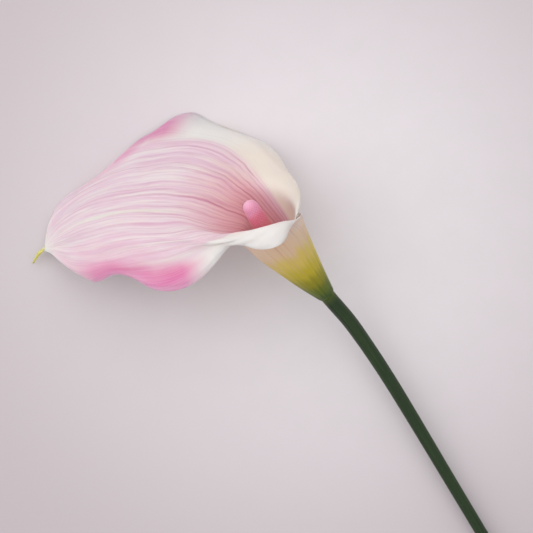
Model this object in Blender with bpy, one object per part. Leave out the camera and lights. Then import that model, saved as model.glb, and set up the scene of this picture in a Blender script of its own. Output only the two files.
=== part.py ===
# Cut calla lily flower lying on a surface: a wrapped spathe with its tail, the spadix inside it, and the stem.
# Lengths are millimetres until they reach the mesh. X is across, Y runs along the stem to the flower, Z is up.
import math

import bpy
import numpy as np
from mathutils import Vector

MM = 0.001

# The neck is where spathe, spadix and stem meet; the funnel's axis rises from it.
NECK = Vector((47.5, 94.8, 22.0))
AXIS_HEADING = 100.5
AXIS_PITCH = 32.0

# Spathe: one leaf rolled round the axis with its two margins overlapping.
LEAF_THICKNESS = 0.7
LEAF_COLUMNS = 36
ROWS_PER_STAGE = 4
MIDRIB_TURN = 30.0
HALF_WRAP = 218.0
NECK_RADIUS = 3.55
FUNNEL_FLARE = 0.235
# Rings of the funnel: height, half the step between the wrap's two layers, lean of the ring's centre to the left.
FUNNEL_RINGS = ((0.0, 0.5, 0.2), (13.0, 0.62, 0.45), (27.0, 0.62, 0.1), (40.0, 0.62, -0.5))

# Each vein from the throat to the apex: stage, turn in degrees, radius and height along the axis.
VEINS = {
    -1.0: (
        (4.0, -172, 15.0, 42.0), (4.5, -119.5, 16.8, 48.5), (5.0, -93, 23.3, 50.5), (5.5, -78, 24.9, 52.5),
        (6.0, -63, 22.6, 54.5), (6.5, -44, 19.4, 56.0), (7.0, -22, 20.0, 57.0), (7.5, -9, 28.0, 54.0),
        (8.0, -2, 39.5, 51.5), (8.5, 4, 50.5, 53.0), (9.0, 11, 58.5, 57.5), (9.4, 17, 63.5, 62.5),
        (9.7, 21, 70.5, 66.5), (10.0, 22.5, 79.5, 66.5), (10.4, 26.5, 88.0, 68.5), (11.0, 33.5, 99.0, 74.5),
        (11.5, 37, 105.0, 77.0),
    ),
    -0.66: (
        (4.0, -113, 14.0, 47.0), (4.5, -111, 15.5, 52.0), (5.0, -97, 17.5, 56.0), (6.0, -53.5, 17.5, 59.0),
        (7.0, -1, 24.0, 60.5), (8.0, 14, 38.0, 62.0), (9.0, 21, 56.0, 68.0), (10.0, 28, 80.0, 73.5),
        (11.0, 36, 99.0, 76.5),
    ),
    -0.33: (
        (4.0, -41.5, 14.0, 51.5), (5.0, -29.5, 14.5, 59.5), (6.0, 8.5, 21.5, 61.5), (7.0, 22, 35.0, 66.5),
        (8.0, 28, 51.5, 72.5), (9.0, 31, 67.5, 77.0), (10.0, 35, 85.0, 77.5), (11.0, 38, 100.0, 78.5),
    ),
    0.0: (
        (4.0, 48, 13.5, 48.5), (5.0, 37, 21.0, 57.0), (6.0, 40, 31.5, 65.0), (7.0, 41.5, 44.0, 73.0),
        (8.0, 42, 58.0, 78.5), (9.0, 41, 72.5, 81.5), (10.0, 40.5, 86.5, 82.5), (11.0, 40, 100.5, 81.0),
    ),
    0.33: (
        (4.0, 105, 18.0, 55.0), (5.0, 91.5, 24.5, 61.5), (6.0, 75.5, 33.5, 69.0), (7.0, 64.5, 46.0, 76.0),
        (8.0, 56.5, 60.0, 80.5), (9.0, 51.5, 74.5, 83.5), (10.0, 46.5, 89.0, 84.5), (11.0, 42.5, 103.0, 82.5),
    ),
    0.66: (
        (4.0, 173, 16.5, 49.5), (5.0, 136, 29.5, 53.5), (6.0, 115, 41.0, 61.5), (7.0, 96, 52.0, 73.0),
        (8.0, 77.5, 62.0, 81.5), (9.0, 64, 74.0, 85.5), (10.0, 52, 91.0, 87.0), (11.0, 45, 104.5, 84.5),
    ),
    1.0: (
        (4.0, 247.5, 13.0, 45.5), (5.0, 167.0, 17.3, 44.0), (5.5, 138.5, 30.0, 43.0), (6.0, 126.0, 44.5, 44.2),
        (6.4, 118.6, 56.4, 49.1), (7.0, 111.1, 64.0, 57.4), (7.4, 103.1, 70.1, 68.7), (8.0, 96.6, 75.1, 79.6),
        (8.25, 91.0, 75.4, 82.6), (8.5, 85.0, 75.0, 84.0), (8.75, 80.2, 76.2, 85.2), (9.0, 76.1, 78.4, 86.2),
        (9.35, 69.5, 81.6, 84.7), (9.7, 62.3, 86.8, 83.6), (10.0, 57.2, 93.2, 84.7), (10.4, 52.8, 100.0, 86.7),
        (11.0, 47.7, 105.4, 85.4), (11.5, 43.4, 107.5, 81.3),
    ),
}
APEX = (12.0, 39.1, 109.5, 78.5)
APEX_SPREAD = 0.8

# Tail: the thin curved point the apex ends in, as offsets from the neck with a radius.
TAIL = ((-99.0, 86.6, -16.4, 0.45), (-102.5, 86.0, -17.0, 0.65), (-107.0, 84.6, -18.0, 0.6), (-111.0, 82.9, -18.8, 0.3))

# Spadix: height along the axis, offsets across it, radius.
SPADIX = (
    (3.6, 0.0, 0.0, 2.0), (4.6, 0.0, 0.0, 2.5), (12.0, 1.0, -0.1, 3.7), (26.0, 1.9, -0.5, 4.4),
    (40.0, 1.9, -1.3, 4.5), (50.0, 1.6, -1.9, 4.2), (58.0, 0.7, -1.6, 3.8), (61.5, 0.1, -1.3, 3.4),
    (63.5, -0.2, -1.1, 2.6), (64.6, -0.3, -1.0, 1.2),
)

# Stem: offsets from the neck with a radius, after the peg that goes up into the spathe's base.
STEM_PEG = ((3.2, 2.0), (-0.4, 2.2), (-0.9, 3.3))
STEM = (
    (1.3, -7.1, -3.5, 3.5), (3.0, -16.4, -7.0, 3.45), (3.9, -25.2, -9.4, 3.35), (4.5, -33.8, -10.9, 3.25),
    (5.2, -50.8, -12.7, 3.15), (5.4, -67.5, -13.9, 3.05), (5.4, -100.5, -15.5, 2.85), (5.4, -150.0, -17.0, 2.7),
    (5.4, -225.0, -18.6, 2.65), (5.4, -298.0, -19.4, 2.6),
)
ROUND_SIDES = 28

COLOURS = {
    "spathe": (0.83, 0.70, 0.76),
    "spadix": (0.78, 0.25, 0.36),
    "stem": (0.06, 0.13, 0.04),
}


def axis_frame():
    heading = math.radians(AXIS_HEADING)
    pitch = math.radians(AXIS_PITCH)
    level = Vector((math.cos(heading), math.sin(heading), 0.0))
    along = level * math.cos(pitch) + Vector((0.0, 0.0, math.sin(pitch)))
    left = Vector((-math.sin(heading), math.cos(heading), 0.0))
    far = level * math.sin(pitch) - Vector((0.0, 0.0, math.cos(pitch)))
    return along, left, far


def natural_spline(knots, values, wanted):
    knots = np.asarray(knots, float)
    values = np.asarray(values, float)
    gaps = np.diff(knots)
    size = len(knots)
    system = np.eye(size)
    bends = np.zeros_like(values)
    slopes = np.diff(values, axis=0) / gaps[:, None]
    for row in range(1, size - 1):
        system[row, row - 1:row + 2] = (gaps[row - 1], 2 * (gaps[row - 1] + gaps[row]), gaps[row])
        bends[row] = 6 * (slopes[row] - slopes[row - 1])
    bends = np.linalg.solve(system, bends)
    low = np.clip(np.searchsorted(knots, wanted) - 1, 0, size - 2)
    gap = gaps[low][:, None]
    after = (wanted - knots[low])[:, None]
    before = gap - after
    return (
        (bends[low] * before ** 3 + bends[low + 1] * after ** 3) / (6 * gap)
        + (values[low] / gap - bends[low] * gap / 6) * before
        + (values[low + 1] / gap - bends[low + 1] * gap / 6) * after
    )


def vein_stations(share):
    stations = []
    turn = MIDRIB_TURN + HALF_WRAP * share
    for stage, (height, step, lean) in enumerate(FUNNEL_RINGS):
        radius = NECK_RADIUS + FUNNEL_FLARE * height - step * math.sin(share * math.pi / 2)
        stations.append((stage, turn, radius + lean * math.cos(math.radians(turn)), height))
    stations.extend(VEINS[share])
    stage, turn, radius, height = APEX
    stations.append((stage, turn + APEX_SPREAD * share, radius, height))
    return np.array(stations)


def leaf_grid():
    stages = np.linspace(0.0, APEX[0], int(APEX[0]) * ROWS_PER_STAGE + 1)
    shares = np.array(sorted(VEINS))
    wanted = np.linspace(-1.0, 1.0, LEAF_COLUMNS + 1)
    veins = []
    for share in shares:
        stations = vein_stations(share)
        veins.append(natural_spline(stations[:, 0], stations[:, 1:], stages))
    rows = [natural_spline(shares, np.array([vein[i] for vein in veins]), wanted) for i in range(len(stages))]
    along, left, far = (np.array(direction) for direction in axis_frame())
    rolled = np.array(rows)
    turn = np.radians(rolled[..., 0:1])
    outward = np.cos(turn) * left + np.sin(turn) * far
    return np.array(NECK) + rolled[..., 2:3] * along + rolled[..., 1:2] * outward


def make_object(name, points, faces, smooth=True):
    mesh = bpy.data.meshes.new(name)
    mesh.from_pydata([[value * MM for value in point] for point in points], [], faces)
    mesh.validate()
    for polygon in mesh.polygons:
        polygon.use_smooth = smooth
    piece = bpy.data.objects.new(name, mesh)
    bpy.context.scene.collection.objects.link(piece)
    return piece


def leaf_solid(name):
    grid = leaf_grid()
    rows, columns = grid.shape[:2]
    normals = np.cross(np.gradient(grid, axis=0), np.gradient(grid, axis=1))
    normals /= np.linalg.norm(normals, axis=2)[..., None]
    skins = [grid + normals * LEAF_THICKNESS / 2, grid - normals * LEAF_THICKNESS / 2]
    points = np.concatenate([skin.reshape(-1, 3) for skin in skins])
    under = rows * columns
    faces = []
    for i in range(rows - 1):
        for j in range(columns - 1):
            a = i * columns + j
            b = a + columns
            faces.append((a, b, b + 1, a + 1))
            faces.append((a + under, a + under + 1, b + under + 1, b + under))
    rim = [j for j in range(columns)]
    rim += [i * columns + columns - 1 for i in range(1, rows)]
    rim += [(rows - 1) * columns + j for j in range(columns - 2, -1, -1)]
    rim += [i * columns for i in range(rows - 2, 0, -1)]
    for a, b in zip(rim, rim[1:] + rim[:1]):
        faces.append((a, b, b + under, a + under))
    return make_object(name, points, faces)


def sweep(name, stations):
    centres = [Vector(centre) for centre, radius in stations]
    points = []
    side = None
    for i, (centre, radius) in enumerate(stations):
        ahead = centres[min(i + 1, len(centres) - 1)] - centres[max(i - 1, 0)]
        ahead.normalize()
        guide = side if side else Vector((0.0, 0.0, 1.0))
        side = (guide - ahead * guide.dot(ahead)).normalized()
        other = ahead.cross(side)
        for k in range(ROUND_SIDES):
            turn = 2 * math.pi * k / ROUND_SIDES
            points.append(centres[i] + (side * math.cos(turn) + other * math.sin(turn)) * radius)
    faces = [tuple(range(ROUND_SIDES))[::-1]]
    for i in range(len(stations) - 1):
        for k in range(ROUND_SIDES):
            a = i * ROUND_SIDES + k
            b = i * ROUND_SIDES + (k + 1) % ROUND_SIDES
            faces.append((a, b, b + ROUND_SIDES, a + ROUND_SIDES))
    last = (len(stations) - 1) * ROUND_SIDES
    faces.append(tuple(range(last, last + ROUND_SIDES)))
    return make_object(name, points, faces)


def smooth_stations(stations, steps):
    table = np.array([(*centre, radius) for centre, radius in stations])
    run = np.concatenate([[0.0], np.cumsum(np.linalg.norm(np.diff(table[:, :3], axis=0), axis=1))])
    fine = natural_spline(run, table, np.linspace(0.0, run[-1], steps))
    return [(Vector(row[:3]), row[3]) for row in fine]


def make_spathe():
    spathe = leaf_solid("spathe")
    tail = sweep("tail_tool", smooth_stations([(NECK + Vector(row[:3]), row[3]) for row in TAIL], 9))
    tail.hide_render = True
    tail.display_type = "WIRE"
    union = spathe.modifiers.new("tail", "BOOLEAN")
    union.operation = "UNION"
    union.solver = "EXACT"
    union.object = tail
    return spathe


def make_spadix():
    along, left, far = axis_frame()
    stations = []
    for height, leftward, farward, radius in SPADIX:
        stations.append((NECK + along * height + left * leftward + far * farward, radius))
    return sweep("spadix", smooth_stations(stations, 30))


def make_stem():
    along = axis_frame()[0]
    peg = [(NECK + along * height, radius) for height, radius in STEM_PEG]
    shaft = [(NECK + Vector(row[:3]), row[3]) for row in STEM]
    return sweep("stem", peg + smooth_stations([(NECK - along * 1.6, 3.5)] + shaft, 34))


def paint(piece):
    material = bpy.data.materials.new(piece.name)
    material.use_nodes = True
    shader = material.node_tree.nodes["Principled BSDF"]
    shader.inputs["Base Color"].default_value = (*COLOURS[piece.name], 1.0)
    shader.inputs["Roughness"].default_value = 0.55
    piece.data.materials.append(material)


def main():
    for old in list(bpy.data.objects):
        bpy.data.objects.remove(old, do_unlink=True)
    for piece in (make_spathe(), make_spadix(), make_stem()):
        paint(piece)


main()
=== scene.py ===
import math

import bmesh
import bpy
import numpy as np
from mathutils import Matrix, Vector


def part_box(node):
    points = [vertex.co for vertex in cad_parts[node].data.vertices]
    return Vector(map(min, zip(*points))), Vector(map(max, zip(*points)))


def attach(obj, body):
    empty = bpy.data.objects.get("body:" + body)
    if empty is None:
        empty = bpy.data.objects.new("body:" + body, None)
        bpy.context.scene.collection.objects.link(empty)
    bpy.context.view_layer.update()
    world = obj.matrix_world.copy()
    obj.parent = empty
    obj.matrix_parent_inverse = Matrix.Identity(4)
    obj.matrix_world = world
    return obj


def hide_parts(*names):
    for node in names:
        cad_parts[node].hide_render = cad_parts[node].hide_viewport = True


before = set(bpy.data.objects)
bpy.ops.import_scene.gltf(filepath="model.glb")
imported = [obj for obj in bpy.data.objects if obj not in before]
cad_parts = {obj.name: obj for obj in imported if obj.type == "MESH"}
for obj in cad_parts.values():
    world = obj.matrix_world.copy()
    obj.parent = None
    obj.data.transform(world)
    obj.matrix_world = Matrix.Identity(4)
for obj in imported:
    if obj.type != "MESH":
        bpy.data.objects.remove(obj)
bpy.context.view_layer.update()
mm = 0.001

flower = {
    "neckInsideStemBox": (8.45, 3.77, 3.39),  # how far the neck lies inside the stem's highest corner
    "axisHeading": 100.5,  # where the funnel points, seen from above
    "axisPitch": 32.0,  # how far it points up
}

neck = np.array(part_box("stem")[1]) / mm - np.array(flower["neckInsideStemBox"])


def axisFrame():
    heading = math.radians(flower["axisHeading"])
    pitch = math.radians(flower["axisPitch"])
    level = np.array((math.cos(heading), math.sin(heading), 0.0))
    along = level * math.cos(pitch) + np.array((0.0, 0.0, math.sin(pitch)))
    left = np.array((-math.sin(heading), math.cos(heading), 0.0))
    far = level * math.sin(pitch) - np.array((0.0, 0.0, math.cos(pitch)))
    return along, left, far


def smoothCurve(knots, values, wanted):
    # natural cubic spline through the values at the knots
    knots = np.asarray(knots, float)
    values = np.asarray(values, float)
    gaps = np.diff(knots)
    system = np.eye(len(knots))
    bends = np.zeros_like(values)
    slopes = np.diff(values, axis=0) / gaps[:, None]
    for row in range(1, len(knots) - 1):
        system[row, row - 1:row + 2] = (gaps[row - 1], 2 * (gaps[row - 1] + gaps[row]), gaps[row])
        bends[row] = 6 * (slopes[row] - slopes[row - 1])
    bends = np.linalg.solve(system, bends)
    low = np.clip(np.searchsorted(knots, wanted) - 1, 0, len(knots) - 2)
    gap = gaps[low][:, None]
    after = (wanted - knots[low])[:, None]
    before = gap - after
    return (
        (bends[low] * before ** 3 + bends[low + 1] * after ** 3) / (6 * gap)
        + (values[low] / gap - bends[low] * gap / 6) * before
        + (values[low + 1] / gap - bends[low + 1] * gap / 6) * after
    )


def rise(value, start, end):
    # 0 before start, 1 after end, smooth between; end may be lower than start
    share = np.clip((value - start) / (end - start), 0.0, 1.0)
    return share * share * (3 - 2 * share)


def steps(value, *pairs):
    # straight lines through (place, height) pairs
    return np.interp(value, [pair[0] for pair in pairs], [pair[1] for pair in pairs])


def unit(vectors):
    return vectors / np.maximum(np.linalg.norm(vectors, axis=-1, keepdims=True), 1e-12)


def sheetMesh(name, across, along, place, closed=False):
    # a grid whose points place() moves, with the marks it gives kept on the vertices as attributes
    bm = bmesh.new()
    bmesh.ops.create_grid(bm, x_segments=across, y_segments=along, size=1.0)
    flat = np.array([vert.co for vert in bm.verts])
    xs, column = np.unique(flat[:, 0].round(5), return_inverse=True)
    ys, row = np.unique(flat[:, 1].round(5), return_inverse=True)
    points, marks = place(xs, ys)
    uvLayer = bm.loops.layers.uv.new("skin")
    for face in bm.faces:
        for loop in face.loops:
            loop[uvLayer].uv = (loop.vert.co.x / 2 + 0.5, loop.vert.co.y / 2 + 0.5)
    for mark, values in marks.items():
        if values.ndim == 3:
            layer = bm.verts.layers.float_vector.new(mark)
        else:
            layer = bm.verts.layers.float.new(mark)
        for vert, value in zip(bm.verts, values[row, column].tolist()):
            vert[layer] = value
    for vert, point in zip(bm.verts, points[row, column] * mm):
        vert.co = point
    if closed:
        bmesh.ops.remove_doubles(bm, verts=bm.verts, dist=0.002 * mm)
        bmesh.ops.recalc_face_normals(bm, faces=bm.faces)
    mesh = bpy.data.meshes.new(name)
    bm.to_mesh(mesh)
    bm.free()
    for polygon in mesh.polygons:
        polygon.use_smooth = True
    piece = bpy.data.objects.new(name, mesh)
    bpy.context.scene.collection.objects.link(piece)
    return piece


def tubeFrames(centres):
    # two directions across each centre that turn as little as they can from one to the next
    ahead = unit(np.gradient(centres, axis=0))
    sides = np.zeros_like(centres)
    guide = np.array((0.0, 0.0, 1.0))
    for i, direction in enumerate(ahead):
        guide = guide - direction * guide.dot(direction)
        guide /= np.linalg.norm(guide)
        sides[i] = guide
    return ahead, sides, np.cross(ahead, sides)


def runOf(points):
    return np.concatenate([[0.0], np.cumsum(np.linalg.norm(np.diff(points, axis=0), axis=1))])


class Nodes:
    # short calls for wiring one material or node group
    def __init__(self, tree):
        self.tree = tree

    def add(self, kind, **settings):
        node = self.tree.nodes.new(kind)
        for key, value in settings.items():
            setattr(node, key, value)
        return node

    def feed(self, socket, value):
        if isinstance(value, bpy.types.NodeSocket):
            self.tree.links.new(value, socket)
        else:
            socket.default_value = value

    def math(self, operation, a, b=0.0, clamp=False):
        node = self.add("ShaderNodeMath", operation=operation, use_clamp=clamp)
        self.feed(node.inputs[0], a)
        self.feed(node.inputs[1], b)
        return node.outputs[0]

    def mix(self, share, a, b):
        node = self.add("ShaderNodeMix", data_type="RGBA")
        self.feed(node.inputs["Factor"], share)
        self.feed(node.inputs[6], a)
        self.feed(node.inputs[7], b)
        return node.outputs[2]

    def remap(self, value, low, high, toLow=0.0, toHigh=1.0):
        node = self.add("ShaderNodeMapRange", interpolation_type="SMOOTHSTEP")
        for socket, number in zip(node.inputs[:5], (value, low, high, toLow, toHigh)):
            self.feed(socket, number)
        return node.outputs[0]

    def noise(self, vector, scale, detail=3.0, rough=0.5):
        node = self.add("ShaderNodeTexNoise")
        self.feed(node.inputs["Vector"], vector)
        node.inputs["Scale"].default_value = scale
        node.inputs["Detail"].default_value = detail
        node.inputs["Roughness"].default_value = rough
        return node.outputs["Fac"]

    def stretch(self, vector, scale):
        node = self.add("ShaderNodeVectorMath", operation="MULTIPLY")
        self.feed(node.inputs[0], vector)
        node.inputs[1].default_value = scale
        return node.outputs[0]

    def mark(self, name, output="Fac"):
        return self.add("ShaderNodeAttribute", attribute_name=name).outputs[output]

    def ramp(self, value, stops, easing="LINEAR"):
        node = self.add("ShaderNodeValToRGB")
        node.color_ramp.interpolation = easing
        elements = node.color_ramp.elements
        while len(elements) < len(stops):
            elements.new(0.5)
        for element, (position, colour) in zip(elements, sorted(stops)):
            element.position = position
        for element, (position, colour) in zip(elements, sorted(stops)):
            element.color = colour
        self.feed(node.inputs[0], value)
        return node.outputs[0]

    def bump(self, height, distance):
        node = self.add("ShaderNodeBump")
        node.inputs["Strength"].default_value = 1.0
        node.inputs["Distance"].default_value = distance * mm
        self.feed(node.inputs["Height"], height)
        return node.outputs["Normal"]


def tint(red, green, blue):
    # screen colour of 0 to 255 as the linear colour that a shader takes
    return tuple((value / 255) ** 2.2 for value in (red, green, blue)) + (1.0,)


def grey(value):
    return (value, value, value, 1.0)


def newMaterial(name, roughness, subsurface=0.0, radius=(1.0, 0.6, 0.5), depth=1.0, specular=0.35):
    material = bpy.data.materials.new(name)
    material.use_nodes = True
    shader = material.node_tree.nodes["Principled BSDF"]
    shader.inputs["Roughness"].default_value = roughness
    shader.inputs["Specular IOR Level"].default_value = specular
    shader.inputs["Subsurface Weight"].default_value = subsurface
    shader.inputs["Subsurface Radius"].default_value = radius
    shader.inputs["Subsurface Scale"].default_value = depth * mm
    return material, Nodes(material.node_tree), shader


spathe = {
    "columns": 140,
    "rows": 270,
    "thickness": 0.75,
    "marginThickness": 0.45,  # share of the thickness left at the margins
    "midribTurn": 30.0,
    "halfWrap": 218.0,
    "neckRadius": 3.55,
    "funnelFlare": 0.235,
    # rings of the funnel: height, half the step between the wrap's layers, lean to the left
    "funnelRings": ((0.0, 0.5, 0.2), (13.0, 0.62, 0.45), (27.0, 0.62, 0.1), (40.0, 0.62, -0.5)),
    "apexStage": 12.0,
    "tailStages": 1.0,
    "apex": (39.1, 109.5, 78.5),
    "apexSpread": 0.8,
    # the tail's centre line: stages past the apex, place from the neck
    "tail": ((0.0, -102.4, 85.95, -17.0), (0.5, -107.0, 84.6, -18.0), (1.0, -111.0, 82.9, -18.8)),
    "tailHalfWidth": 1.5,
    "tailCurl": 2.5,  # how far the tail closes into a tube, in radians
    "tailTaper": 0.72,
    "ribCount": 11,
    "ribHeight": 0.06,
    "marginRoll": 0.9,
    "pillowCount": 2.5,
    "pillowHeight": 0.35,
    "restHeight": 0.4,  # the blade's middle layer comes no nearer to the table
}

# veins from the throat to the apex: stage, turn, radius from the axis and height along it
spatheVeins = {
    -1.0: (
        (4.0, -172, 15.0, 42.0), (4.5, -119.5, 16.8, 48.5), (5.0, -93, 23.3, 50.5), (5.5, -78, 24.9, 52.5),
        (6.0, -63, 22.6, 54.5), (6.5, -44, 19.4, 56.0), (7.0, -22, 20.0, 57.0), (7.5, -9, 28.0, 54.0),
        (8.0, -2, 39.5, 51.5), (8.5, 4, 50.5, 53.0), (9.0, 11, 58.5, 57.5), (9.4, 17, 63.5, 62.5),
        (9.7, 21, 70.5, 66.5), (10.0, 22.5, 79.5, 66.5), (10.4, 26.5, 88.0, 68.5), (11.0, 33.5, 99.0, 74.5),
        (11.5, 37, 105.0, 77.0),
    ),
    -0.66: (
        (4.0, -113, 14.0, 47.0), (4.5, -111, 15.5, 52.0), (5.0, -97, 17.5, 56.0), (6.0, -53.5, 17.5, 59.0),
        (7.0, -1, 24.0, 60.5), (8.0, 14, 38.0, 62.0), (9.0, 21, 56.0, 68.0), (10.0, 28, 80.0, 73.5),
        (11.0, 36, 99.0, 76.5),
    ),
    -0.33: (
        (4.0, -41.5, 14.0, 51.5), (5.0, -29.5, 14.5, 59.5), (6.0, 8.5, 21.5, 61.5), (7.0, 22, 35.0, 66.5),
        (8.0, 28, 51.5, 72.5), (9.0, 31, 67.5, 77.0), (10.0, 35, 85.0, 77.5), (11.0, 38, 100.0, 78.5),
    ),
    0.0: (
        (4.0, 48, 13.5, 48.5), (5.0, 37, 21.0, 57.0), (6.0, 40, 31.5, 65.0), (7.0, 41.5, 44.0, 73.0),
        (8.0, 42, 58.0, 78.5), (9.0, 41, 72.5, 81.5), (10.0, 40.5, 86.5, 82.5), (11.0, 40, 100.5, 81.0),
    ),
    0.33: (
        (4.0, 105, 18.0, 55.0), (5.0, 91.5, 24.5, 61.5), (6.0, 75.5, 33.5, 69.0), (7.0, 64.5, 46.0, 76.0),
        (8.0, 56.5, 60.0, 80.5), (9.0, 51.5, 74.5, 83.5), (10.0, 46.5, 89.0, 84.5), (11.0, 42.5, 103.0, 82.5),
    ),
    0.66: (
        (4.0, 173, 16.5, 49.5), (5.0, 136, 29.5, 53.5), (6.0, 115, 41.0, 61.5), (7.0, 96, 52.0, 73.0),
        (8.0, 77.5, 62.0, 81.5), (9.0, 64, 74.0, 85.5), (10.0, 52, 91.0, 87.0), (11.0, 45, 104.5, 84.5),
    ),
    1.0: (
        (4.0, 247.5, 13.0, 45.5), (5.0, 167.0, 17.3, 44.0), (5.5, 138.5, 30.0, 43.0),
        (6.0, 126.0, 44.5, 44.2), (6.4, 118.6, 56.4, 49.1), (7.0, 111.1, 64.0, 57.4),
        (7.4, 103.1, 70.1, 68.7), (8.0, 96.6, 75.1, 79.6), (8.25, 91.0, 75.4, 82.6),
        (8.5, 85.0, 75.0, 84.0), (8.75, 80.2, 76.2, 85.2), (9.0, 76.1, 78.4, 86.2),
        (9.35, 69.5, 81.6, 84.7), (9.7, 62.3, 86.8, 83.6), (10.0, 57.2, 93.2, 84.7),
        (10.4, 52.8, 100.0, 86.7), (11.0, 47.7, 105.4, 85.4), (11.5, 43.4, 107.5, 81.3),
    ),
}


def veinStations(share):
    stations = []
    turn = spathe["midribTurn"] + spathe["halfWrap"] * share
    for stage, (height, step, lean) in enumerate(spathe["funnelRings"]):
        radius = spathe["neckRadius"] + spathe["funnelFlare"] * height
        radius -= step * math.sin(share * math.pi / 2)
        stations.append((stage, turn, radius + lean * math.cos(math.radians(turn)), height))
    stations.extend(spatheVeins[share])
    turn, radius, height = spathe["apex"]
    stations.append((spathe["apexStage"], turn + spathe["apexSpread"] * share, radius, height))
    return np.array(stations)


def bladePoints(shares, stages):
    knots = np.array(sorted(spatheVeins))
    veins = []
    for share in knots:
        stations = veinStations(share)
        veins.append(smoothCurve(stations[:, 0], stations[:, 1:], stages))
    rolled = np.array([smoothCurve(knots, np.array(crossing), shares) for crossing in zip(*veins)])
    along, left, far = axisFrame()
    turn = np.radians(rolled[..., 0:1])
    outward = np.cos(turn) * left + np.sin(turn) * far
    return neck + rolled[..., 2:3] * along + rolled[..., 1:2] * outward


def tailPoints(shares, stages):
    # past the apex the blade rolls up into a thin pointed thread
    table = np.array(spathe["tail"])
    after = stages - spathe["apexStage"]
    centres = neck + smoothCurve(table[:, 0], table[:, 1:], after)
    ahead = unit(np.gradient(centres, axis=0))
    along, left, far = axisFrame()
    turn = math.radians(spathe["apex"][0])
    across = far * math.cos(turn) - left * math.sin(turn)
    across = unit(across - ahead * (ahead @ across)[:, None])
    inward = np.cross(across, ahead)
    closing = 0.02 + spathe["tailCurl"] * rise(after, 0.0, 0.55)
    radius = spathe["tailHalfWidth"] * (1 - spathe["tailTaper"] * rise(after, 0.3, 1.05)) / closing
    roll = closing[:, None] * shares[None, :]
    return (
        centres[:, None]
        + (radius[:, None] * np.sin(roll))[..., None] * across[:, None]
        + (radius[:, None] * (1 - np.cos(roll)))[..., None] * inward[:, None]
    )


def veinAcross(share, stage):
    # where a point lies among the coloured veins: -1 and 1 are the edges of the veined band
    middle = steps(
        stage, (3, 0.10), (3.5, 0.07), (4, 0.045), (4.3, 0.04), (4.7, 0.055), (5, 0.08), (5.5, 0.11),
        (6, 0.12), (7, 0.10), (8, 0.09), (9, 0.10), (10, 0.12), (11, 0.13),
    )
    above = steps(
        stage, (3, 0.40), (5, 0.41), (6, 0.45), (7, 0.55), (8, 0.64), (9, 0.74), (10, 0.85), (11, 1.0),
        (12, 1.15),
    )
    below = steps(
        stage, (3, 0.30), (4, 0.30), (5, 0.44), (6, 0.60), (7, 0.70), (8, 0.70), (9, 0.76), (10, 0.88),
        (11, 1.05), (12, 1.2),
    )
    return np.where(share > middle, (share - middle) / above, (share - middle) / below)


def blushOf(share, stage):
    # the pink of the two side margins: where it starts, how far it takes to deepen, how deep it gets
    upperEdge = steps(stage, (7.6, 0.66), (8.4, 0.71), (8.6, 0.73), (9, 0.60), (10, 0.56))
    upperReach = steps(stage, (7.6, 0.12), (8, 0.15), (8.4, 0.20), (9, 0.34), (9.3, 0.22))
    upperDepth = steps(
        stage, (7.45, 0), (7.6, 0.08), (7.8, 0.28), (8, 0.6), (8.2, 0.85), (8.5, 0.9), (9, 0.76),
        (9.3, 0.32), (9.6, 0.28), (10, 0.16), (10.5, 0),
    )
    upper = rise(share, upperEdge, upperEdge + upperReach) * upperDepth
    lowerEdge = steps(
        stage, (7.8, -0.72), (8.4, -0.67), (8.8, -0.64), (9.2, -0.54), (9.6, -0.46), (10, -0.52),
        (10.5, -0.56),
    )
    lowerReach = steps(stage, (7.8, 0.14), (8.2, 0.18), (8.6, 0.25), (9, 0.34), (9.6, 0.42))
    lowerDepth = steps(
        stage, (7.5, 0), (7.8, 0.32), (8, 0.65), (8.2, 0.95), (8.5, 1.0), (9, 0.92), (9.3, 0.78),
        (9.6, 0.84), (10, 0.86), (10.5, 0.32), (11, 0.15), (11.6, 0),
    )
    lower = rise(share, lowerEdge, lowerEdge - lowerReach) * lowerDepth
    faint = 0.18 * rise(share, -0.25, -0.55) * rise(stage, 8.0, 8.8) * rise(stage, 10.6, 9.8)
    return np.maximum(np.maximum(upper, lower), faint)


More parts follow.
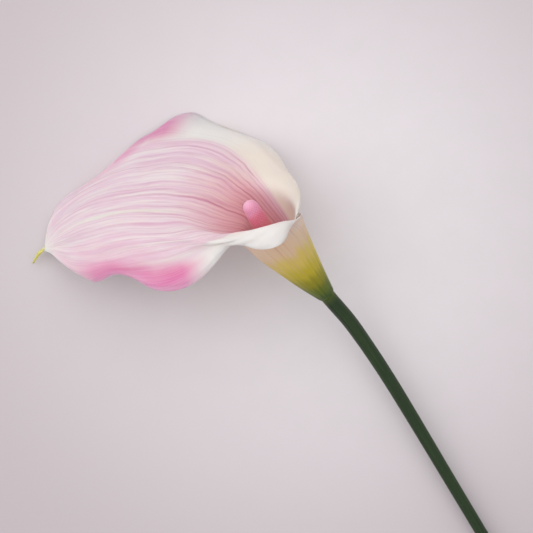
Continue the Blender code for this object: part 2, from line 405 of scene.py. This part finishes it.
def placeSpathe(xs, ys):
    top = spathe["apexStage"] + spathe["tailStages"]
    stages = (ys + 1) / 2 * top
    inBlade = stages <= spathe["apexStage"]
    points = np.concatenate([bladePoints(xs, stages[inBlade]), tailPoints(xs, stages[~inBlade])])
    share, stage = np.meshgrid(xs, stages)
    across = veinAcross(share, stage)
    outward = unit(np.cross(np.gradient(points, axis=0), np.gradient(points, axis=1)))
    grown = rise(stage, 4.6, 6.5) * rise(stage, 12.0, 10.5)
    ribs = np.cos(across * 2 * math.pi * spathe["ribCount"]) * rise(np.abs(across), 1.25, 1.0)
    pillows = np.cos(across * 2 * math.pi * spathe["pillowCount"] + 0.7)
    lift = grown * (spathe["ribHeight"] * ribs + spathe["pillowHeight"] * pillows)
    lift += spathe["marginRoll"] * grown * rise(np.abs(share), 0.93, 1.0) ** 2
    points = points + outward * lift[..., None]
    points[..., 2] = np.maximum(points[..., 2], spathe["restHeight"])
    side = np.radians(spathe["midribTurn"] + spathe["halfWrap"] * share)
    margin = rise(np.abs(share), 0.80, 1.0)
    bandFoot = -0.98 - 0.7 * rise(stage, 6.6, 7.8)  # the veins reach the lower margin past the throat
    # painted shade and glow in the throat, strongest near the middle of the veined band
    throatShadeMiddle = 0.55 + 0.45 * rise(np.abs(across - 0.1), 1.0, 0.25)
    marks = {
        "veinPlace": np.stack([across, stage, share], axis=-1),
        "funnelPlace": np.stack([np.cos(side), np.sin(side), stage * 0.25], axis=-1),
        "stage": stage,
        "margin": margin,
        "creamed": rise(stage, 7.2, 5.6) * rise(share, -0.1, 0.4),
        "rimFold": 0.75 * rise(share, 0.90, 0.985) * rise(stage, 7.0, 7.12) * rise(stage, 7.42, 7.25),
        "blush": blushOf(share, stage),
        "veined": rise(across, 1.10, 0.94) * rise(across, bandFoot, -0.92) * rise(stage, 12.1, 10.8),
        # painted shade, with the rosy glow of light through the petal, deepening towards the throat
        "deep": rise(stage, 6.9, 3.8) * throatShadeMiddle * rise(across, 1.1, 0.75) * rise(across, -1.4, -0.9),
        "midrib": rise(np.abs(across + 0.105), 0.06, 0.0) * rise(stage, 5.8, 7.2) * rise(stage, 11.2, 9.2),
        "thin": 1 - (1 - spathe["marginThickness"]) * margin * rise(stage, 0.5, 2.0),
    }
    return points, marks


veinLines = {
    # place across the band, depth of colour, half width
    "upper": (
        (0.97, 0.45, 0.026), (0.90, 0.55, 0.022), (0.81, 0.45, 0.018), (0.72, 0.50, 0.022),
        (0.65, 0.65, 0.022), (0.57, 0.55, 0.018), (0.40, 0.40, 0.020), (0.32, 0.35, 0.016),
        (0.26, 0.75, 0.026),
    ),
    "lower": (
        (0.18, 0.85, 0.030), (0.10, 0.35, 0.014), (-0.02, 0.60, 0.024), (-0.165, 0.55, 0.018),
        (-0.22, 0.45, 0.020), (-0.33, 0.70, 0.028), (-0.54, 0.40, 0.020), (-0.64, 0.50, 0.022),
        (-0.73, 0.40, 0.016), (-0.96, 0.55, 0.034),
    ),
}


def veinGroup():
    # the drawn veins: a few strong ones at fixed places, fine ones between, each fading along its length
    group = bpy.data.node_groups.new("drawnVeins", "ShaderNodeTree")
    group.interface.new_socket("Place", in_out="INPUT", socket_type="NodeSocketVector")
    group.interface.new_socket("Strong", in_out="OUTPUT", socket_type="NodeSocketFloat")
    group.interface.new_socket("Fine", in_out="OUTPUT", socket_type="NodeSocketFloat")
    group.interface.new_socket("Relief", in_out="OUTPUT", socket_type="NodeSocketFloat")
    nodes = Nodes(group)
    place = nodes.add("NodeGroupInput").outputs["Place"]
    result = nodes.add("NodeGroupOutput")
    waver = nodes.math("SUBTRACT", nodes.noise(nodes.stretch(place, (3.0, 0.9, 0.0)), 1.0), 0.5)
    waver = nodes.math("MULTIPLY", waver, 0.05)
    split = nodes.add("ShaderNodeSeparateXYZ")
    nodes.feed(split.inputs[0], place)
    across = nodes.math("ADD", split.outputs[0], waver)
    strong = None
    for low, high, lines in ((0.22, 1.02, veinLines["upper"]), (-1.02, 0.22, veinLines["lower"])):
        stops = [(0.0, grey(0.0)), (1.0, grey(0.0))]
        for centre, depth, width in lines:
            for offset, level in ((-width, 0.0), (0.0, depth), (width, 0.0)):
                stops.append(((centre + offset - low) / (high - low), grey(level)))
        spread = nodes.add("ShaderNodeMapRange")
        for socket, number in zip(spread.inputs[:5], (across, low, high, 0.0, 1.0)):
            nodes.feed(socket, number)
        drawn = nodes.ramp(spread.outputs[0], stops)
        strong = drawn if strong is None else nodes.math("MAXIMUM", strong, drawn)
    patches = nodes.noise(nodes.stretch(place, (9.0, 0.55, 0.0)), 1.0, 2.0)
    fading = nodes.remap(patches, 0.30, 0.62, 0.40, 1.0)
    nodes.feed(result.inputs["Strong"], nodes.math("MULTIPLY", strong, fading))
    combed = nodes.noise(nodes.stretch(place, (30.0, 0.45, 0.0)), 1.0, 4.0, 0.62)
    nodes.feed(result.inputs["Fine"], nodes.remap(combed, 0.44, 0.74))
    nodes.feed(result.inputs["Relief"], nodes.noise(nodes.stretch(place, (42.0, 0.5, 0.0)), 1.0, 2.0))
    return group


spatheTints = {
    "ivory": tint(238, 228, 221),
    "cream": tint(240, 218, 204),
    "wash": tint(228, 195, 207),
    "vein": tint(193, 136, 166),
    # the next two tints are painted shade and the glow of light through the petal, deep in the throat
    "shadedVein": tint(174, 92, 116),
    "throat": tint(202, 138, 144),
    "midrib": tint(230, 224, 208),
    "blush": tint(210, 92, 152),
    "rim": tint(236, 190, 212),
    "speck": tint(150, 112, 138),
    "rimFold": tint(216, 198, 170),
    "tail": tint(210, 204, 112),
    "foot": tint(52, 78, 20),
    "funnelVein": tint(200, 150, 136),
    "outerVein": tint(222, 190, 198),
}


def makeInnerMaterial(group):
    material, nodes, shader = newMaterial("spatheInside", 0.42, 0.85, (1.0, 0.8, 0.7), 3.5)
    place = nodes.mark("veinPlace", "Vector")
    veins = nodes.add("ShaderNodeGroup", node_tree=group)
    nodes.feed(veins.inputs["Place"], place)
    veined = nodes.mark("veined")
    deep = nodes.mark("deep")
    stage = nodes.mark("stage")
    cloud = nodes.noise(nodes.stretch(place, (12.0, 0.5, 0.0)), 1.0, 3.0)
    ground = nodes.mix(nodes.mark("creamed"), spatheTints["ivory"], spatheTints["cream"])
    washed = nodes.math("MULTIPLY", veined, nodes.remap(cloud, 0.36, 0.62, 0.5, 1.0))
    ground = nodes.mix(washed, ground, spatheTints["wash"])
    # painted shade and glow: the colour deepens to rose towards the throat
    ground = nodes.mix(nodes.math("MULTIPLY", deep, 0.9), ground, spatheTints["throat"])
    ground = nodes.mix(nodes.math("MULTIPLY", nodes.mark("midrib"), 0.75), ground, spatheTints["midrib"])
    fine = nodes.math("MULTIPLY", veins.outputs["Fine"], 0.6)
    lines = nodes.math("ADD", veins.outputs["Strong"], fine, clamp=True)
    fade = nodes.ramp(nodes.math("DIVIDE", stage, spathe["apexStage"]), [
        (0.40, grey(1.0)), (0.52, grey(0.95)), (0.66, grey(0.60)), (0.97, grey(0.32)),
    ])
    lines = nodes.math("MULTIPLY", nodes.math("MULTIPLY", lines, veined), fade)
    # the veins darken with the painted shade of the throat
    inkColour = nodes.mix(deep, spatheTints["vein"], spatheTints["shadedVein"])
    colour = nodes.mix(lines, ground, inkColour)
    blush = nodes.mark("blush")
    broken = nodes.math("MULTIPLY", blush, nodes.remap(veins.outputs["Relief"], 0.25, 0.7, 1.0, 0.82))
    colour = nodes.mix(broken, colour, spatheTints["blush"])
    # painted highlight: the very edge of the rolled margin is paler pink where light catches it
    rim = nodes.remap(nodes.mark("margin"), 0.90, 0.99, 0.0, 0.22)
    colour = nodes.mix(nodes.math("MULTIPLY", rim, blush), colour, spatheTints["rim"])
    dots = nodes.noise(nodes.stretch(place, (14.0, 9.0, 14.0)), 1.0, 1.0)
    specks = nodes.remap(dots, 0.74, 0.80, 0.0, 0.7)
    specks = nodes.math("MULTIPLY", specks, nodes.remap(nodes.mark("margin"), 0.93, 0.99))
    specks = nodes.math("MULTIPLY", specks, nodes.remap(stage, 8.5, 9.5))
    colour = nodes.mix(specks, colour, spatheTints["speck"])
    colour = nodes.mix(nodes.mark("rimFold"), colour, spatheTints["rimFold"])
    colour = nodes.mix(nodes.remap(stage, 11.75, 12.15), colour, spatheTints["tail"])
    colour = nodes.mix(nodes.remap(stage, 0.4, 0.1), colour, spatheTints["foot"])
    nodes.feed(shader.inputs["Base Color"], colour)
    grain = nodes.noise(nodes.add("ShaderNodeTexCoord").outputs["Object"], 900.0, 2.0)
    relief = nodes.math("ADD", veins.outputs["Relief"], nodes.math("MULTIPLY", grain, 0.10))
    nodes.feed(shader.inputs["Normal"], nodes.bump(relief, 0.15))
    nodes.feed(shader.inputs["Roughness"], nodes.remap(veins.outputs["Relief"], 0.3, 0.7, 0.36, 0.50))
    return material


def makeOuterMaterial(group):
    material, nodes, shader = newMaterial("spatheOutside", 0.42, 0.6, (1.0, 0.8, 0.5), 2.5)
    place = nodes.mark("funnelPlace", "Vector")
    stage = nodes.mark("stage")
    drift = nodes.math("SUBTRACT", nodes.noise(nodes.stretch(place, (5.0, 5.0, 1.2)), 1.0, 4.0), 0.5)
    drift = nodes.math("MULTIPLY", drift, 1.1)
    side = nodes.add("ShaderNodeSeparateXYZ")
    nodes.feed(side.inputs[0], place)
    # painted light: the funnel's outside is shifted darker and greener on its left side and paler on its
    # right, standing in for light from one side
    lean = nodes.math("MULTIPLY", side.outputs[0], nodes.remap(stage, 0.2, 1.2, 0.0, -0.15))
    level = nodes.math("DIVIDE", nodes.math("ADD", nodes.math("ADD", stage, drift), lean), 8.0)
    ground = nodes.ramp(level, [
        (0.00, spatheTints["foot"]), (0.06, tint(92, 106, 8)), (0.13, tint(142, 136, 6)),
        (0.20, tint(188, 170, 38)), (0.28, tint(210, 186, 96)), (0.37, tint(217, 188, 160)),
        (0.52, tint(224, 198, 184)), (0.75, tint(236, 228, 220)),
    ], "EASE")
    streaks = nodes.noise(nodes.stretch(place, (13.0, 13.0, 0.9)), 1.0, 5.0, 0.62)
    streaks = nodes.math("MULTIPLY", nodes.remap(streaks, 0.48, 0.68), nodes.remap(stage, 0.8, 2.6, 0.0, 0.5))
    ink = nodes.mix(nodes.remap(stage, 3.5, 6.0), spatheTints["funnelVein"], spatheTints["outerVein"])
    colour = nodes.mix(streaks, ground, ink)
    colour = nodes.mix(nodes.math("MULTIPLY", nodes.mark("blush"), 0.8), colour, spatheTints["blush"])
    colour = nodes.mix(nodes.remap(stage, 11.6, 12.1), colour, spatheTints["tail"])
    nodes.feed(shader.inputs["Base Color"], colour)
    veins = nodes.add("ShaderNodeGroup", node_tree=group)
    nodes.feed(veins.inputs["Place"], nodes.mark("veinPlace", "Vector"))
    nodes.feed(shader.inputs["Normal"], nodes.bump(veins.outputs["Relief"], 0.25))
    nodes.feed(shader.inputs["Roughness"], nodes.remap(veins.outputs["Relief"], 0.3, 0.7, 0.34, 0.48))
    return material


def makeSpathe():
    piece = sheetMesh("spatheBlade", spathe["columns"], spathe["rows"], placeSpathe)
    thin = piece.data.attributes["thin"].data
    thickGroup = piece.vertex_groups.new(name="thickness")
    for i, value in enumerate(thin):
        thickGroup.add([i], value.value, "REPLACE")
    wall = piece.modifiers.new("wall", "SOLIDIFY")
    wall.thickness = spathe["thickness"] * mm
    wall.offset = 0.0
    wall.vertex_group = thickGroup.name
    wall.material_offset = 1
    wall.material_offset_rim = 0
    group = veinGroup()
    piece.data.materials.append(makeInnerMaterial(group))
    piece.data.materials.append(makeOuterMaterial(group))
    return piece


spadix = {
    "columns": 170,
    "rows": 400,
    "floretHeight": 0.07,
    "budsPerLength": 1.15,
    "bareRadius": 2.5,  # the florets flatten out where the rod is thinner
    "spirals": (13, 21),  # florets round the spadix along each of the two spirals
    # height along the axis, offsets to the left and away, radius
    "stations": (
        (3.6, 0.0, 0.0, 2.0), (4.6, 0.0, 0.0, 2.5), (12.0, 1.0, -0.1, 3.7), (26.0, 1.9, -0.5, 4.4),
        (40.0, 1.9, -1.3, 4.5), (50.0, 1.6, -1.9, 4.2), (58.0, 0.7, -1.6, 3.8), (60.5, 0.25, -1.4, 3.55),
    ),
    "tipLength": 3.9,
    "endRows": 0.06,
}


def placeSpadix(xs, ys):
    along, left, far = axisFrame()
    table = np.array(spadix["stations"])
    wanted = np.clip((ys + 1) / 2, 0, 1)
    body = np.clip((wanted - spadix["endRows"]) / (1 - 2 * spadix["endRows"]), 0, 1)
    heights = table[0, 0] + body * (table[-1, 0] - table[0, 0])
    offsets = smoothCurve(table[:, 0], table[:, 1:], heights)
    foot = np.clip(1 - wanted / spadix["endRows"], 0, 1)
    tip = np.clip((wanted - 1) / spadix["endRows"] + 1, 0, 1)
    radius = offsets[:, 2] * np.cos(tip * math.pi / 2) * (1 - foot)
    centres = neck + (heights + spadix["tipLength"] * np.sin(tip * math.pi / 2))[:, None] * along
    centres += offsets[:, 0:1] * left + offsets[:, 1:2] * far
    turn = xs * math.pi
    outward = np.cos(turn)[:, None] * left + np.sin(turn)[:, None] * far
    first, second = spadix["spirals"]
    run = runOf(centres)[:, None] * 2 * math.pi / math.sqrt(3) * spadix["budsPerLength"]
    around = turn[None, :]
    buds = np.cos(first * around + run * 1.25) + np.cos(second * around - run * 0.85)
    buds += np.cos((first + second) * around + run * 0.40)
    buds = (buds + 1.5) / 4.5
    grown = np.clip(radius / spadix["bareRadius"], 0, 1) ** 2
    crown = spadix["floretHeight"] * np.sqrt(np.clip(buds, 0, 1)) * grown[:, None]
    surface = np.maximum(radius[:, None] - spadix["floretHeight"] * 0.5 + crown, 0.0)
    surface = np.where(radius[:, None] < 1e-6, 0.0, surface)
    points = centres[:, None] + surface[..., None] * outward[None]
    marks = {
        "bud": np.clip(buds, 0, 1),
        "climb": np.repeat(wanted[:, None], len(xs), axis=1),
    }
    return points, marks


def makeSpadixMaterial():
    material, nodes, shader = newMaterial("spadixVelvet", 0.6, 0.25, (1.0, 0.35, 0.35), 1.0)
    climb = nodes.mark("climb")
    bud = nodes.mark("bud")
    # the two palest stops, at the very tip, are a painted highlight; the rest of the ramp is the spadix's own
    # colour
    body = nodes.ramp(climb, [
        (0.0, tint(214, 186, 110)), (0.35, tint(218, 134, 124)), (0.78, tint(210, 114, 118)),
        (0.88, tint(222, 118, 140)), (0.95, tint(232, 156, 186)), (1.0, tint(242, 188, 214)),
    ], "EASE")
    # painted shade: the colour darkens to deep rose in the hollows between the florets
    shadedBuds = nodes.mix(nodes.remap(bud, 0.0, 0.6, 0.72, 1.0), tint(186, 66, 96), body)
    coordinates = nodes.add("ShaderNodeTexCoord").outputs["Object"]
    pollen = nodes.remap(nodes.noise(coordinates, 2600.0, 3.0, 0.7), 0.52, 0.72, 0.0, 0.35)
    nodes.feed(shader.inputs["Base Color"], nodes.mix(pollen, shadedBuds, tint(248, 190, 204)))
    nodes.feed(shader.inputs["Normal"], nodes.bump(nodes.noise(coordinates, 3200.0, 3.0), 0.06))
    shader.inputs["Sheen Weight"].default_value = 0.25
    shader.inputs["Sheen Roughness"].default_value = 0.4
    return material


def makeSpadix():
    piece = sheetMesh("spadixBody", spadix["columns"], spadix["rows"], placeSpadix, closed=True)
    piece.data.materials.append(makeSpadixMaterial())
    return piece


stem = {
    "columns": 64,
    "rows": 520,
    "peg": ((3.2, 2.0), (-0.4, 2.2), (-0.9, 3.3)),  # height along the axis and radius
    "neckStation": (-1.6, 3.5),
    # offsets from the neck and radius
    "stations": (
        (1.3, -7.1, -3.5, 3.5), (3.0, -16.4, -7.0, 3.45), (3.9, -25.2, -9.4, 3.35), (4.5, -33.8, -10.9, 3.25),
        (5.2, -50.8, -12.7, 3.15), (5.4, -67.5, -13.9, 3.05), (5.4, -100.5, -15.5, 2.85),
        (5.4, -150.0, -17.0, 2.7), (5.4, -225.0, -18.6, 2.65), (5.4, -298.0, -19.4, 2.6),
    ),
    "ridges": 17,
    "ridgeHeight": 0.035,
    "ridgedRadius": 2.7,  # the radius at which the ridges stand that high
    "pegRows": 0.02,
    "cutRows": 0.03,
}


def placeStem(xs, ys):
    along = axisFrame()[0]
    wanted = (ys + 1) / 2
    height, radius = stem["neckStation"]
    shaft = [(*(along * height), radius), *stem["stations"]]
    table = np.array(shaft)
    table[:, :3] += neck
    run = runOf(table[:, :3])
    pegShare, cutShare = stem["pegRows"], 1 - stem["cutRows"]
    body = np.clip((wanted - pegShare) / (cutShare - pegShare), 0, 1)
    fine = smoothCurve(run, table, body * run[-1])
    centres, radii = fine[:, :3], fine[:, 3]
    before = wanted < pegShare
    count = int(before.sum())
    pegHeights = np.array([row[0] for row in stem["peg"]] + [stem["neckStation"][0]])
    pegRadii = np.array([0.0] + [row[1] for row in stem["peg"]][1:] + [stem["neckStation"][1]])
    spot = np.linspace(0, 1, count + 1)[:-1] * (len(pegHeights) - 1)
    centres[:count] = neck + np.interp(spot, np.arange(len(pegHeights)), pegHeights)[:, None] * along
    radii[:count] = np.interp(spot, np.arange(len(pegHeights)), pegRadii)
    inCut = np.clip((wanted - cutShare) / stem["cutRows"], 0, 1)
    ahead, side, other = tubeFrames(fine[:, :3])
    turn = xs * math.pi
    ridged = 1 + stem["ridgeHeight"] / stem["ridgedRadius"] * np.cos(stem["ridges"] * turn)
    outward = np.cos(turn)[None, :, None] * side[:, None] + np.sin(turn)[None, :, None] * other[:, None]
    shrink = np.where(inCut > 0, 1 - inCut, 1.0)
    points = centres[:, None] + outward * (radii * shrink)[:, None, None] * ridged[None, :, None]
    ring = np.cos(turn)[None], np.sin(turn)[None]
    marks = {
        "stemPlace": np.stack(np.broadcast_arrays(*ring, (wanted * 12)[:, None]), -1),
        "climb": np.repeat(wanted[:, None], len(xs), axis=1),
        "cut": np.repeat(inCut[:, None], len(xs), axis=1),
    }
    return points, marks


def makeStemMaterial():
    material, nodes, shader = newMaterial("stemSkin", 0.40, 0.08, (0.6, 1.0, 0.3), 1.0)
    place = nodes.mark("stemPlace", "Vector")
    streaks = nodes.noise(nodes.stretch(place, (9.0, 9.0, 0.5)), 1.0, 4.0, 0.6)
    colour = nodes.mix(nodes.remap(streaks, 0.35, 0.7), tint(24, 41, 17), tint(41, 63, 29))
    colour = nodes.mix(nodes.remap(nodes.mark("climb"), 0.035, 0.0), colour, tint(96, 112, 40))
    flecks = nodes.noise(nodes.stretch(place, (30.0, 30.0, 22.0)), 1.0, 2.0)
    colour = nodes.mix(nodes.remap(flecks, 0.6, 0.72, 0.0, 0.25), colour, tint(96, 122, 78))
    cut = nodes.mark("cut")
    pith = nodes.noise(nodes.add("ShaderNodeTexCoord").outputs["Object"], 2200.0, 3.0)
    flesh = nodes.mix(nodes.remap(pith, 0.35, 0.65), tint(186, 202, 140), tint(222, 230, 186))
    colour = nodes.mix(nodes.remap(cut, 0.05, 0.30), colour, flesh)
    nodes.feed(shader.inputs["Base Color"], colour)
    nodes.feed(shader.inputs["Normal"], nodes.bump(streaks, 0.12))
    return material


def makeStem():
    piece = sheetMesh("stemStalk", stem["columns"], stem["rows"], placeStem, closed=True)
    piece.data.materials.append(makeStemMaterial())
    return piece


studio = {
    "floorSize": 8.0,
    # the table's colour darkens from a middle point towards a darker tint at its edges: a painted pool of
    # light and its painted fall-off
    "floorTint": tint(231, 225, 229),
    "floorShadeTint": tint(192, 182, 186),
    "floorLightPoolMiddle": (16.0, 27.0),  # from the neck
    "floorLightPoolReach": 225.0,  # where the painted fall-off of light has darkened the table to its shaded tint
    "skyTint": (1.0, 0.99, 0.99, 1.0),
    "skyStrength": 0.72,
    "cameraOffset": (-16.9, 24.6, 613.0),  # from the neck
    "cameraTurn": -31.0,
    "lens": 90.0,
}

lamps = (
    # name, place in metres, aimed at, side in metres, watts
    ("keyLamp", (0.35, 0.75, 1.35), (0.0, 0.1, 0.0), 1.8, 7.7),
    ("fillLamp", (-0.7, 0.65, 0.75), (0.0, 0.15, 0.0), 1.0, 3.6),
)


def makeFloor():
    floor = sheetMesh("table", 8, 8, lambda xs, ys: (flatPlace(xs, ys), {}))
    material, nodes, shader = newMaterial("paleTable", 0.75, specular=0.2)
    coordinates = nodes.add("ShaderNodeTexCoord").outputs["Object"]
    away = nodes.add("ShaderNodeVectorMath", operation="DISTANCE")
    nodes.feed(away.inputs[0], coordinates)
    middle = neck[:2] + np.array(studio["floorLightPoolMiddle"])
    away.inputs[1].default_value = (middle[0] * mm, middle[1] * mm, 0.0)
    # painted pool of light: the table's colour darkens with distance from the middle point
    spread = nodes.remap(away.outputs["Value"], 0.0, studio["floorLightPoolReach"] * mm)
    colour = nodes.mix(spread, studio["floorTint"], studio["floorShadeTint"])
    mottle = nodes.remap(nodes.noise(coordinates, 60.0, 4.0), 0.3, 0.7, 0.0, 0.05)
    nodes.feed(shader.inputs["Base Color"], nodes.mix(mottle, colour, grey(0.5)))
    floor.data.materials.append(material)
    return floor


def flatPlace(xs, ys):
    half = studio["floorSize"] / 2 / mm
    across, along = np.meshgrid(xs * half, ys * half)
    return np.stack([across, along, np.zeros_like(across)], axis=-1)


def makeLamps():
    for name, place, target, side, watts in lamps:
        lamp = bpy.data.lights.new(name, "AREA")
        lamp.shape = "SQUARE"
        lamp.size = side
        lamp.energy = watts
        holder = bpy.data.objects.new(name, lamp)
        holder.location = place
        holder.rotation_euler = (Vector(target) - Vector(place)).to_track_quat("-Z", "Y").to_euler()
        bpy.context.scene.collection.objects.link(holder)
    world = bpy.data.worlds.new("studioAir")
    world.use_nodes = True
    sky = world.node_tree.nodes["Background"]
    sky.inputs["Color"].default_value = studio["skyTint"]
    sky.inputs["Strength"].default_value = studio["skyStrength"]
    bpy.context.scene.world = world


def makeCamera():
    camera = bpy.data.cameras.new("camera")
    camera.lens = studio["lens"]
    camera.clip_start = 0.01
    holder = bpy.data.objects.new("camera", camera)
    holder.location = (neck + np.array(studio["cameraOffset"])) * mm
    holder.rotation_euler = (0.0, 0.0, math.radians(studio["cameraTurn"]))
    bpy.context.scene.collection.objects.link(holder)
    bpy.context.scene.camera = holder


pieces = (("spathe", "spathe", makeSpathe), ("spadix", "spadix", makeSpadix), ("stem", "stem", makeStem))
for node, slotName, make in pieces:
    piece = make()
    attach(piece, "root")
    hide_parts(node)
    print("made", piece.name, len(piece.data.polygons), "faces")

makeFloor()
makeLamps()
makeCamera()
bpy.context.scene.view_settings.view_transform = "Standard"
print("set the table, the lamps and the camera")
